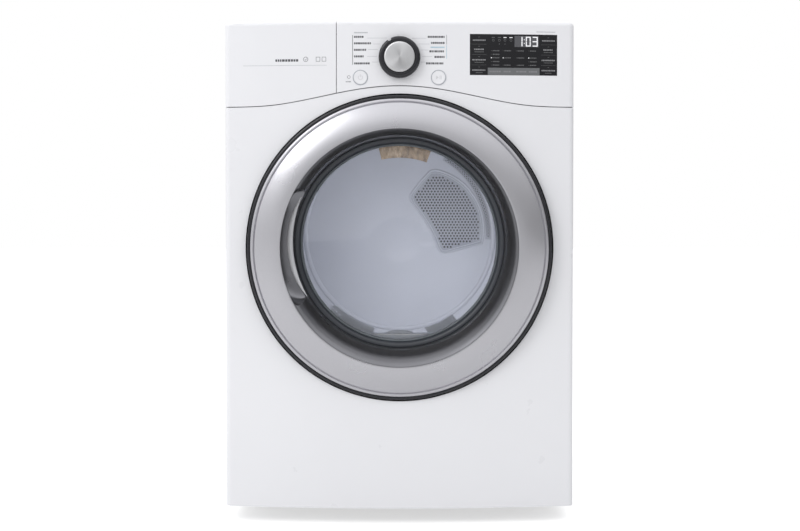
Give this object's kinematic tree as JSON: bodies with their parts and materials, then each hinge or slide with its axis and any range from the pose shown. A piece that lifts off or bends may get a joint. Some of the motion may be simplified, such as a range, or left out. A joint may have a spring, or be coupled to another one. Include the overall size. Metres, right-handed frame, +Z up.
{
  "type": "clothes dryer",
  "caption": "White front-loading tumble dryer with a round glazed door, rotary selector, push buttons and display.",
  "frame": {"origin": "on the floor under the middle of the whole outline", "axes": "+Z up, the front with the door faces -Y, +X to the right seen from the front"},
  "size_m": [0.686, 0.7651, 0.983],
  "materials": {
    "white_enamel": "smooth satin enamel",
    "white_plastic": "satin moulded",
    "black_plastic": "gloss moulded",
    "charcoal_plastic": "gloss moulded",
    "silver_paint": "satin metallic",
    "brushed_cap": "brushed",
    "display_glass": "polished black",
    "circuit_board": "lacquered laminate",
    "zinc_steel": "zinc-coated sheet",
    "drum_steel": "powder coated",
    "grey_plastic": "moulded",
    "pale_grip": "moulded",
    "dark_plastic": "moulded",
    "clear_glass": "clear",
    "seal_rubber": "soft",
    "felt": "pressed felt",
    "lamp_amber": "translucent lens",
    "bright_steel": "machined",
    "motor_paint": "painted",
    "element_steel": "heat-tinted",
    "foot_rubber": "hard rubber"
  },
  "bodies": {
    "cabinet": {"base_pan": "zinc_steel", "blower_housing": "grey_plastic", "cabinet_screws": "bright_steel", "control_board": "circuit_board", "control_fascia": "white_plastic", "display_window": "display_glass", "drum_belt": "seal_rubber", "drum_lamp": "lamp_amber", "drum_seals": "felt", "exhaust_duct": "zinc_steel", "fascia_end_panel": "white_plastic", "front_bulkhead": "grey_plastic", "front_panel": "white_enamel", "heater_element": "element_steel", "heater_housing": "zinc_steel", "hinge_bracket": "zinc_steel", "hinge_pin": "bright_steel", "idler_bracket": "zinc_steel", "idler_spring": "bright_steel", "inlet_grille": "drum_steel", "latch_catch": "dark_plastic", "left_side_panel": "white_enamel", "lint_duct": "grey_plastic", "moisture_bars": "bright_steel", "motor_body": "motor_paint", "motor_bracket": "zinc_steel", "outlet_grille": "grey_plastic", "rear_bulkhead": "zinc_steel", "rear_panel": "zinc_steel", "right_side_panel": "white_enamel", "roller_axles": "bright_steel", "terminal_cover": "zinc_steel", "top_panel": "white_enamel"},
    "door": {"door_trim_ring": "silver_paint", "door_frame": "black_plastic", "door_funnel": "charcoal_plastic", "door_handle_grip": "pale_grip", "window_ring": "black_plastic", "door_glass": "clear_glass", "door_inner_panel": "grey_plastic", "door_seal": "seal_rubber", "door_strike": "bright_steel", "hinge_leaf": "bright_steel"},
    "selector": {"selector_ring": "black_plastic", "selector_cap": "brushed_cap"},
    "power_key": {"power_button": "white_plastic"},
    "start_key": {"start_button": "white_plastic"},
    "drum": {"drum_shell": "drum_steel", "drum_baffles": "grey_plastic"},
    "left_roller": {"roller_left": "seal_rubber"},
    "right_roller": {"roller_right": "seal_rubber"},
    "motor_rotor": {"motor_shaft": "bright_steel", "blower_wheel": "dark_plastic"},
    "tension_arm": {"idler_arm": "bright_steel"},
    "tension_pulley": {"idler_pulley": "dark_plastic"},
    "lint_screen": {"lint_filter": "dark_plastic"},
    "front_left_foot": {"foot_front_left": "foot_rubber"},
    "front_right_foot": {"foot_front_right": "foot_rubber"},
    "rear_left_foot": {"foot_rear_left": "foot_rubber"},
    "rear_right_foot": {"foot_rear_right": "foot_rubber"}
  },
  "joints": [
    {"name": "door_hinge", "type": "hinge", "parent": "cabinet", "child": "door", "pos_m": [0.282, -0.355, 0.541], "axis": [0, 0, 1], "range_deg": [0, 120]},
    {"name": "selector_turn", "type": "hinge", "parent": "cabinet", "child": "selector", "pos_m": [0, -0.37, 0.911], "axis": [0, -1, 0], "continuous": true},
    {"name": "power_press", "type": "slide", "parent": "cabinet", "child": "power_key", "axis": [0, 1, 0], "range_m": [0, 0.0015], "stiffness_N_per_m": 600},
    {"name": "start_press", "type": "slide", "parent": "cabinet", "child": "start_key", "axis": [0, 1, 0], "range_m": [0, 0.0015], "stiffness_N_per_m": 600},
    {"name": "drum_spin", "type": "hinge", "parent": "cabinet", "child": "drum", "pos_m": [0, 0, 0.549], "axis": [0, 1, 0], "continuous": true},
    {"name": "motor_spin", "type": "hinge", "parent": "cabinet", "child": "motor_rotor", "pos_m": [0, 0, 0.132], "axis": [0, 1, 0], "continuous": true},
    {"name": "left_roller_spin", "type": "hinge", "parent": "cabinet", "child": "left_roller", "pos_m": [-0.19691, 0.272, 0.26778], "axis": [0, 1, 0], "continuous": true},
    {"name": "right_roller_spin", "type": "hinge", "parent": "cabinet", "child": "right_roller", "pos_m": [0.19691, 0.272, 0.26778], "axis": [0, 1, 0], "continuous": true},
    {"name": "idler_swing", "type": "hinge", "parent": "cabinet", "child": "tension_arm", "pos_m": [-0.15, 0.0015, 0.062], "axis": [0, 1, 0], "range_deg": [-10, 0], "stiffness_Nm_per_rad": 4, "springref_deg": 20.05},
    {"name": "idler_spin", "type": "hinge", "parent": "tension_arm", "child": "tension_pulley", "pos_m": [-0.12756, 0.015, 0.21195], "axis": [0, 1, 0], "continuous": true},
    {"name": "filter_lift", "type": "slide", "parent": "cabinet", "child": "lint_screen", "axis": [0, 0, 1], "range_m": [0, 0.12]},
    {"name": "front_left_foot_turn", "type": "hinge", "parent": "cabinet", "child": "front_left_foot", "pos_m": [-0.29, -0.185, 0.02], "axis": [0, 0, 1], "continuous": true},
    {"name": "rear_left_foot_turn", "type": "hinge", "parent": "cabinet", "child": "rear_left_foot", "pos_m": [-0.29, 0.3, 0.02], "axis": [0, 0, 1], "continuous": true},
    {"name": "front_right_foot_turn", "type": "hinge", "parent": "cabinet", "child": "front_right_foot", "pos_m": [0.29, -0.185, 0.02], "axis": [0, 0, 1], "continuous": true},
    {"name": "rear_right_foot_turn", "type": "hinge", "parent": "cabinet", "child": "rear_right_foot", "pos_m": [0.29, 0.3, 0.02], "axis": [0, 0, 1], "continuous": true}
  ],
  "couplings": [
    {"joint": "motor_spin", "follows": "drum_spin", "ratio": 33.889},
    {"joint": "left_roller_spin", "follows": "drum_spin", "ratio": -8.0263},
    {"joint": "right_roller_spin", "follows": "drum_spin", "ratio": -8.0263},
    {"joint": "idler_spin", "follows": "drum_spin", "ratio": -13.864}
  ]
}
